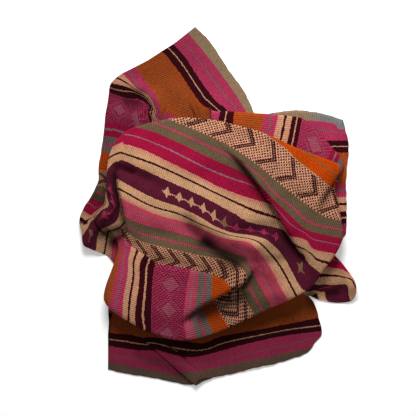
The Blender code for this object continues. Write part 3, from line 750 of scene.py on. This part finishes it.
def makeCloth(name):
    spec = blanket
    count = spec["grid"]
    at, station = gridPlaces(count)
    where, level, wing = sectionPoints(station, at)
    sides = {}
    for lapName, lap in laps.items():
        sides[lapName] = sideOfLine(lap["line"] + (lap["runOn"],), where)
    onTop = 1.0 - smooth(station, 1.0, 2.6)
    lies = smooth(station, 6.0, 6.6)
    rumple = rumpleHeight(where)
    laidOver, paintedShade = lapHeight(where, sides)
    level = level + (foldHeight("top", where) + laidOver + rumple) * onTop
    low = foldHeight("low", where) + np.maximum(rumple, -0.0005)
    level = np.maximum(level + low * lies, spec["floorLevel"])
    fields = weavePlaces(where, station, at, wing, sides)
    x, y = onFloor(where[:, 0], where[:, 1])
    side = 2 * count + 1
    middle = np.stack([x, y, level], axis=1).reshape(side, side, 3)
    alongA = np.gradient(middle, axis=1)
    alongB = -np.gradient(middle, axis=0)
    normal = np.cross(alongA, alongB)
    normal = normal / np.maximum(np.linalg.norm(normal, axis=2, keepdims=True), 1e-12)
    face = (middle + normal * spec["thickness"] / 2.0).reshape(-1, 3)
    back = (middle - normal * spec["thickness"] / 2.0).reshape(-1, 3)
    points = np.concatenate([face, back])
    points[:, 2] = np.maximum(points[:, 2], 0.0)
    total = side * side
    corner = (np.arange(side - 1)[:, None] * side + np.arange(side - 1)[None]).ravel()
    quads = np.stack([corner, corner + side, corner + side + 1, corner + 1], axis=1)
    backQuads = quads[:, ::-1] + total
    rim = list(range(side))
    rim += [side * row + side - 1 for row in range(1, side)]
    rim += [total - 1 - place for place in range(1, side)]
    rim += [side * (side - 1 - row) for row in range(1, side - 1)]
    rim = np.array(rim)
    onward = np.roll(rim, -1)
    rimQuads = np.stack([rim, onward, onward + total, rim + total], axis=1)
    faces = np.concatenate([quads, backQuads, rimQuads])
    mesh = bpy.data.meshes.new(name)
    mesh.from_pydata(points.tolist(), [], faces.tolist())
    mesh.polygons.foreach_set("use_smooth", np.ones(len(faces), dtype=bool))
    for part, values in fields.items():
        attribute = mesh.attributes.new(part + "Weave", "FLOAT_VECTOR", "POINT")
        attribute.data.foreach_set("vector", np.concatenate([values, values]).ravel())
    # painted shade for the creases, carried to the wool
    attribute = mesh.attributes.new("paintedShade", "FLOAT", "POINT")
    attribute.data.foreach_set("value", np.tile(paintedShade, 2))
    mesh.update()
    cloth = bpy.data.objects.new(name, mesh)
    bpy.context.scene.collection.objects.link(cloth)
    return cloth


cloth = makeCloth("woven_blanket")
print("cloth made,", len(cloth.data.polygons), "faces")

# yarns, as their colour on a screen, 0 to 255
yarn = {
    "maroon": (50, 7, 16),
    "plum": (78, 20, 38),
    "cream": (184, 139, 104),
    "shell": (184, 131, 102),
    "crimson": (138, 14, 49),
    "rose": (168, 60, 80),
    "pink": (161, 47, 80),
    "orange": (166, 58, 3),
    "taupe": (92, 75, 54),
    "greyTaupe": (100, 84, 78),
    "slate": (118, 92, 102),
    "border": (136, 112, 86),
    # a darker copy of the border yarn, painted shade for the last hem
    "shadedBorder": (104, 80, 66),
    "olive": (116, 88, 58),
    "umber": (94, 78, 46),
    "dove": (150, 130, 130),
    "steel": (112, 110, 110),
}

# Bands by distance from the middle band, in pixels from its centre line
innerBands = (
    (0, "plum"), (10, "cream"), (18.4, "maroon"), (20.9, "cream"), (29, "crimson"),
    (38.4, "slate"), (39.8, "crimson"), (49, "taupe"), (57.2, "pink"), (58.9, "taupe"),
    (67, "shell"), (97, "orange"), (105.5, "umber"), (106.6, "orange"),
    (115, "greyTaupe"), (121.7, "pink"), (123.4, "greyTaupe"), (130, "crimson"),
    (135.3, "slate"), (136.7, "crimson"))
outerBands = (
    (142, "pink"), (173, "maroon"), (179, "shell"), (181, "maroon"), (187, "shell"),
    (192.8, "maroon"), (195.2, "shell"), (201, "pink"), (207.3, "greyTaupe"),
    (208.8, "pink"), (215, "orange"), (245, "maroon"), (252, "cream"), (253.5, "maroon"),
    (260, "pink"), (270.3, "greyTaupe"), (271.9, "pink"), (282, "border"))
# crimson of the first half that is a lighter rose in the second
roseBands = ((29, 38.4), (39.8, 49), (130, 135.3), (136.7, 142))

loom = {
    "width": 352.0,       # pixels from selvage to selvage
    "middle": 294.0,      # centre line of the middle band, pixels from the top hem
    "inner": 142.0,       # where the inner bands end and the outer ones start
    "hemBand": 282.0,     # where the border starts
    "uneven": 2.4,        # pixels by which the beat of the weft wavers
    "unevenScale": 0.4,
    "rib": 2.1,           # pixels between the warp ribs
    "pick": 1.1,          # pixels between the rows of weft
}
# cream beside the crimson, and where the crimson has bled into it
bleed = {"from": 20.9, "to": 29.0, "start": 23.5, "slope": 0.09}
# corner on the right that is turned over, by u and v
turnedCorner = {"fromU": 304.0, "slope": 0.05, "fromV": -40.0, "toV": 11.0}
# shift, pitch and rung in pixels, stroke: part of the pitch, speck: part of the stroke
chequer = {
    "from": 67.0, "to": 97.0, "dots": 2.6, "dotSize": 0.62,
    "reach": 13.5,        # half the width of the chevrons
    "rung": 3.1,          # between the cream specks in them
    "speckFrom": 0.36, "speckTo": 0.66, "speck": 0.55,
    "firstHalf": {"shift": 7.3, "pitch": 26.5, "stroke": 0.2},
    "secondHalf": {"shift": 0.0, "pitch": 16.5, "stroke": 0.3},
}
# from, to, yarn of the dots, yarn of the diamonds, part of the dots that shows
dottedBands = ((142.0, 173.0, "maroon", "dove", 0.8), (215.0, 245.0, "umber", "umber", 0.75))
diamonds = {
    "pitch": 25.0, "dots": 2.3, "dotSize": 0.7,
    "centre": 7.5,        # pixels to the edge of the inner diamond
    "ringFrom": 10.5, "ringTo": 12.5, "ring": 0.35,
    "strength": 0.36,
    "left": 150.0,        # up to here all the dots show, beyond it fewer
    "fewer": 0.75,
}
stars = {
    "pitch": 13.0, "shift": 1.0,
    "top": 6.2, "topSlope": 1.8, "topEnd": 1.5,
    "foot": 5.2, "footSlope": 1.9, "footEnd": -1.0,
    "cord": 0.6,          # half the width of the line that joins them
    "strength": 0.86,
}
# pixels from the left selvage, and the yarn of the stars from there on
starYarns = (
    (0, "plum"), (8, "olive"), (22, "plum"), (38, "pink"), (76, "plum"), (142, "cream"),
    (207, "olive"), (220, "pink"), (268, "plum"), (298, "olive"), (312, "plum"),
    (326, "orange"), (336, "plum"))
wool = {
    "base": 0.42, "fleck": 1.2, "dye": 0.35,
    "fleckScale": 0.9, "fleckLength": 0.35, "dyeScale": 0.05,
    # how dark the shade painted between the ribs and at the crossings of the weave is
    "ribShade": 0.34, "latticeShade": 0.28, "lattice": 1.7, "latticeSize": 0.6,
    "selvage": 110.0,     # pixels from the left over which the painted shade lifts
    "selvageShade": 0.6,
    "footFrom": 505.0,    # from here to the last hem the painted shade deepens
    "footSlope": 0.02, "footShade": 0.42,
    "bump": 0.0016, "bumpStrength": 0.6, "pickHeight": -0.35, "fleckHeight": 0.8,
    "roughness": 0.92, "sheen": 0.01, "sheenRoughness": 0.5, "gloss": 0.04,
}

woolLook = bpy.data.materials.new("striped_wool")
woolLook.use_nodes = True
woolTree = woolLook.node_tree


def linear(colour):
    parts = []
    for value in colour:
        share = value / 255.0
        parts.append(share / 12.92 if share < 0.04045 else ((share + 0.055) / 1.055) ** 2.4)
    return (parts[0], parts[1], parts[2], 1.0)


def feed(socket, value):
    if isinstance(value, bpy.types.NodeSocket):
        woolTree.links.new(value, socket)
    else:
        socket.default_value = value


def reckon(operation, *values):
    node = woolTree.nodes.new("ShaderNodeMath")
    node.operation = operation
    for socket, value in zip(node.inputs, values):
        feed(socket, value)
    return node.outputs[0]


def times(first, *others):
    for other in others:
        first = reckon("MULTIPLY", first, other)
    return first


def plus(first, second):
    return reckon("ADD", first, second)


def minus(first, second):
    return reckon("SUBTRACT", first, second)


def above(value, limit):
    return reckon("GREATER_THAN", value, limit)


def below(value, limit):
    return reckon("LESS_THAN", value, limit)


def within(value, low, high):
    return times(above(value, low), below(value, high))


def distanceTo(value, middle):
    return reckon("ABSOLUTE", minus(value, middle))


# part of a repeat, 0 to 1
def repeatOf(value, pitch):
    return reckon("FRACT", plus(reckon("DIVIDE", value, pitch), 100.0))


# 0 in the middle of a repeat, 1 at its ends
def ridgeOf(value, pitch):
    return times(distanceTo(repeatOf(value, pitch), 0.5), 2.0)


# dots on a slanting lattice
def dotsOf(u, v, pitch, size):
    along = times(plus(u, v), 0.7071)
    across = times(minus(u, v), 0.7071)
    return times(below(repeatOf(along, pitch), size), below(repeatOf(across, pitch), size))


def vectorOf(*values):
    node = woolTree.nodes.new("ShaderNodeCombineXYZ")
    for socket, value in zip(node.inputs, values):
        feed(socket, value)
    return node.outputs[0]


def splitOf(vector):
    node = woolTree.nodes.new("ShaderNodeSeparateXYZ")
    feed(node.inputs[0], vector)
    return node.outputs


def noiseOf(vector, scale, detail):
    node = woolTree.nodes.new("ShaderNodeTexNoise")
    feed(node.inputs["Vector"], vector)
    node.inputs["Scale"].default_value = scale
    node.inputs["Detail"].default_value = detail
    return node.outputs["Fac"]


def mixOf(share, first, second, blend="MIX"):
    node = woolTree.nodes.new("ShaderNodeMix")
    node.data_type = "RGBA"
    node.blend_type = blend
    feed(node.inputs[0], share)
    feed(node.inputs[6], first)
    feed(node.inputs[7], second)
    return node.outputs[2]


def dyed(colour, share, name):
    return mixOf(share, colour, linear(yarn[name]))


def bandRamp(source, bands, low, high):
    node = woolTree.nodes.new("ShaderNodeValToRGB")
    ramp = node.color_ramp
    ramp.interpolation = "CONSTANT"
    for place, (start, name) in enumerate(bands):
        spot = (start - low) / (high - low)
        if place < 2:
            element = ramp.elements[place]
            element.position = spot
        else:
            element = ramp.elements.new(spot)
        element.color = linear(yarn[name])
    feed(node.inputs[0], times(minus(source, low), 1.0 / (high - low)))
    return node.outputs[0]


# each part of the cloth has its own weave where it lies over the others
def weaveOf():
    picked = None
    for part, lap, turn in clothParts:
        node = woolTree.nodes.new("ShaderNodeAttribute")
        node.attribute_name = part + "Weave"
        own = node.outputs["Vector"]
        if picked is None:
            picked = own
        else:
            picked = mixOf(above(splitOf(own)[2], 0.0), picked, own)
    places = splitOf(picked)
    return places[0], places[1]


# chequered bands with chevrons
def weaveChequer(colour, u, v, fold, halves):
    spec = chequer
    band = within(fold, spec["from"], spec["to"])
    colour = dyed(colour, times(band, dotsOf(u, v, spec["dots"], spec["dotSize"])), "maroon")
    half = distanceTo(fold, (spec["from"] + spec["to"]) / 2.0)
    rung = below(repeatOf(minus(u, half), spec["rung"]), 0.5)
    band = times(band, below(half, spec["reach"]))
    for name, mine in zip(("firstHalf", "secondHalf"), halves):
        row = spec[name]
        mine = times(mine, band)
        arm = repeatOf(minus(plus(u, half), row["shift"]), row["pitch"])
        colour = dyed(colour, times(within(arm, 0.0, row["stroke"]), mine), "maroon")
        speck = within(arm, row["stroke"] * spec["speckFrom"], row["stroke"] * spec["speckTo"])
        colour = dyed(colour, times(speck, rung, mine, spec["speck"]), "cream")
    return colour


# pink and orange bands are dotted all over, with paler diamonds down the middle
def weaveDots(colour, u, v, fold, lower):
    spec = diamonds
    dots = dotsOf(u, v, spec["dots"], spec["dotSize"])
    fuller = reckon("MAXIMUM", lower, below(u, spec["left"]))
    fuller = plus(times(fuller, 1.0 - spec["fewer"]), spec["fewer"])
    for low, high, dark, pale, share in dottedBands:
        band = within(fold, low, high)
        across = times(distanceTo(repeatOf(u, spec["pitch"]), 0.5), spec["pitch"])
        diamond = plus(across, distanceTo(fold, (low + high) / 2.0))
        centre = below(diamond, spec["centre"])
        ring = times(within(diamond, spec["ringFrom"], spec["ringTo"]), spec["ring"])
        colour = dyed(colour, times(band, dots, share, fuller), dark)
        paler = times(reckon("MAXIMUM", centre, ring), band, dots, spec["strength"])
        colour = dyed(colour, paler, pale)
    return colour


# a line of small stars along the middle band
def weaveStars(colour, u, v, fold):
    spec = stars
    tips = distanceTo(repeatOf(plus(u, spec["shift"]), spec["pitch"]), 0.5)
    tips = times(tips, spec["pitch"])
    drop = minus(v, loom["middle"])
    upper = below(minus(times(tips, spec["topSlope"]), spec["top"]), drop)
    upper = times(upper, below(drop, spec["topEnd"]))
    lower = above(minus(spec["foot"], times(tips, spec["footSlope"])), drop)
    lower = times(lower, above(drop, spec["footEnd"]))
    motif = reckon("MAXIMUM", upper, lower)
    motif = reckon("MAXIMUM", motif, below(fold, spec["cord"]))
    colours = bandRamp(u, starYarns, 0.0, loom["width"])
    return mixOf(times(motif, spec["strength"]), colour, colours)


# flecks along each thread and slow changes of dye, with painted shade between the ribs, at the
# crossings of the weave, in the creases, towards the left selvage and over the last bands
def yarnAndPaintedShade(u, v, fleck, ribs, place):
    spec = wool
    dye = noiseOf(place, spec["dyeScale"], 2.0)
    shade = plus(plus(times(fleck, spec["fleck"]), times(dye, spec["dye"])), spec["base"])
    # painted shade in the grooves between the ribs and at the crossings of the weave
    lattice = dotsOf(u, v, spec["lattice"], spec["latticeSize"])
    grooveShade = times(ribs, ribs, spec["ribShade"])
    shade = minus(shade, plus(grooveShade, times(lattice, spec["latticeShade"])))
    # painted shade in the creases and deep places, where shade falls
    crease = woolTree.nodes.new("ShaderNodeAttribute")
    crease.attribute_name = "paintedShade"
    shade = times(shade, minus(1.0, crease.outputs["Fac"]))
    # painted shade as well: darker towards the left selvage and over the last bands, where less
    # light falls on the heap
    selvage = reckon("MINIMUM", reckon("DIVIDE", u, spec["selvage"]), 1.0)
    selvage = plus(times(selvage, 1.0 - spec["selvageShade"]), spec["selvageShade"])
    foot = reckon("MAXIMUM", minus(v, spec["footFrom"]), 0.0)
    foot = reckon("MINIMUM", times(foot, spec["footSlope"]), spec["footShade"])
    foot = times(foot, times(selvage, selvage))
    return times(shade, selvage, minus(1.0, foot))


def weaveWool():
    spec = wool
    shader = woolTree.nodes["Principled BSDF"]
    u, v = weaveOf()
    place = vectorOf(u, v)
    # the beat of the weft is a little uneven, so are the edges of the bands
    beat = noiseOf(place, loom["unevenScale"], 4.0)
    v = plus(v, times(minus(beat, 0.5), loom["uneven"]))
    fold = distanceTo(v, loom["middle"])
    lower = above(v, loom["middle"])
    inner = bandRamp(fold, innerBands, 0.0, loom["inner"])
    outer = bandRamp(fold, outerBands, loom["inner"], loom["middle"])
    colour = mixOf(above(fold, loom["inner"]), inner, outer)
    for low, high in roseBands:
        colour = dyed(colour, times(within(fold, low, high), lower), "rose")
    # painted shade: the border of the last hem takes a darker copy of its yarn, as it lies in
    # the billow's shade
    colour = dyed(colour, times(above(fold, loom["hemBand"]), lower), "shadedBorder")
    bled = reckon("MAXIMUM", times(minus(fold, bleed["start"]), bleed["slope"]), 0.0)
    colour = dyed(colour, times(bled, within(fold, bleed["from"], bleed["to"])), "rose")
    colour = weaveChequer(colour, u, v, fold, (minus(1.0, lower), lower))
    colour = weaveDots(colour, u, v, fold, lower)
    # the turned corner shows a greyer back
    spot = turnedCorner
    corner = reckon("MAXIMUM", times(minus(u, spot["fromU"]), spot["slope"]), 0.0)
    corner = times(reckon("MINIMUM", corner, 1.0), within(v, spot["fromV"], spot["toV"]))
    colour = dyed(colour, corner, "steel")
    colour = weaveStars(colour, u, v, fold)

    fleck = noiseOf(vectorOf(times(u, spec["fleckLength"]), v), spec["fleckScale"], 4.0)
    ribs = ridgeOf(u, loom["rib"])
    shade = yarnAndPaintedShade(u, v, fleck, ribs, place)
    colour = mixOf(1.0, colour, vectorOf(shade, shade, shade), "MULTIPLY")
    feed(shader.inputs["Base Color"], colour)

    picks = ridgeOf(v, loom["pick"])
    height = plus(minus(1.0, times(ribs, ribs)), times(picks, spec["pickHeight"]))
    height = plus(height, times(fleck, spec["fleckHeight"]))
    bump = woolTree.nodes.new("ShaderNodeBump")
    bump.inputs["Strength"].default_value = spec["bumpStrength"]
    bump.inputs["Distance"].default_value = spec["bump"]
    feed(bump.inputs["Height"], height)
    feed(shader.inputs["Normal"], bump.outputs["Normal"])
    shader.inputs["Roughness"].default_value = spec["roughness"]
    shader.inputs["Sheen Weight"].default_value = spec["sheen"]
    shader.inputs["Sheen Roughness"].default_value = spec["sheenRoughness"]
    shader.inputs["Specular IOR Level"].default_value = spec["gloss"]


weaveWool()
cloth.data.materials.append(woolLook)
print("wool woven")

studio = {
    "floorSize": 6.0,
    "floorColour": (250, 250, 250),
    "floorGlow": 0.22,    # lit paper, so it stays white
    "sky": 0.38,          # soft light from all round
    "power": 50.0,        # watts of the soft box
    "boxSize": 0.9,
    "boxX": -0.05,        # where the soft box hangs, beyond the upper end
    "boxY": 1.45,
    "boxZ": 1.4,
}


def makeStudio():
    half = studio["floorSize"] / 2.0
    mesh = bpy.data.meshes.new("pale_floor")
    mesh.from_pydata([(-half, -half, 0.0), (half, -half, 0.0), (half, half, 0.0),
                      (-half, half, 0.0)], [], [(0, 1, 2, 3)])
    floor = bpy.data.objects.new("pale_floor", mesh)
    bpy.context.scene.collection.objects.link(floor)
    paper = bpy.data.materials.new("pale_paper")
    paper.use_nodes = True
    shader = paper.node_tree.nodes["Principled BSDF"]
    shader.inputs["Base Color"].default_value = linear(studio["floorColour"])
    shader.inputs["Roughness"].default_value = 0.9
    shader.inputs["Emission Color"].default_value = linear(studio["floorColour"])
    shader.inputs["Emission Strength"].default_value = studio["floorGlow"]
    mesh.materials.append(paper)
    world = bpy.data.worlds.new("soft_sky")
    bpy.context.scene.world = world
    world.use_nodes = True
    sky = world.node_tree.nodes["Background"]
    sky.inputs["Color"].default_value = (1.0, 1.0, 1.0, 1.0)
    sky.inputs["Strength"].default_value = studio["sky"]
    lampData = bpy.data.lights.new("soft_box", "AREA")
    lampData.energy = studio["power"]
    lampData.shape = "SQUARE"
    lampData.size = studio["boxSize"]
    lamp = bpy.data.objects.new("soft_box", lampData)
    bpy.context.scene.collection.objects.link(lamp)
    lamp.location = (studio["boxX"], studio["boxY"], studio["boxZ"])
    lamp.rotation_euler = lamp.location.to_track_quat("Z", "Y").to_euler()
    bpy.context.scene.view_settings.view_transform = "Standard"
    return floor


floor = makeStudio()
print("studio lit")

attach(cloth, "root")
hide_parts("blanket")
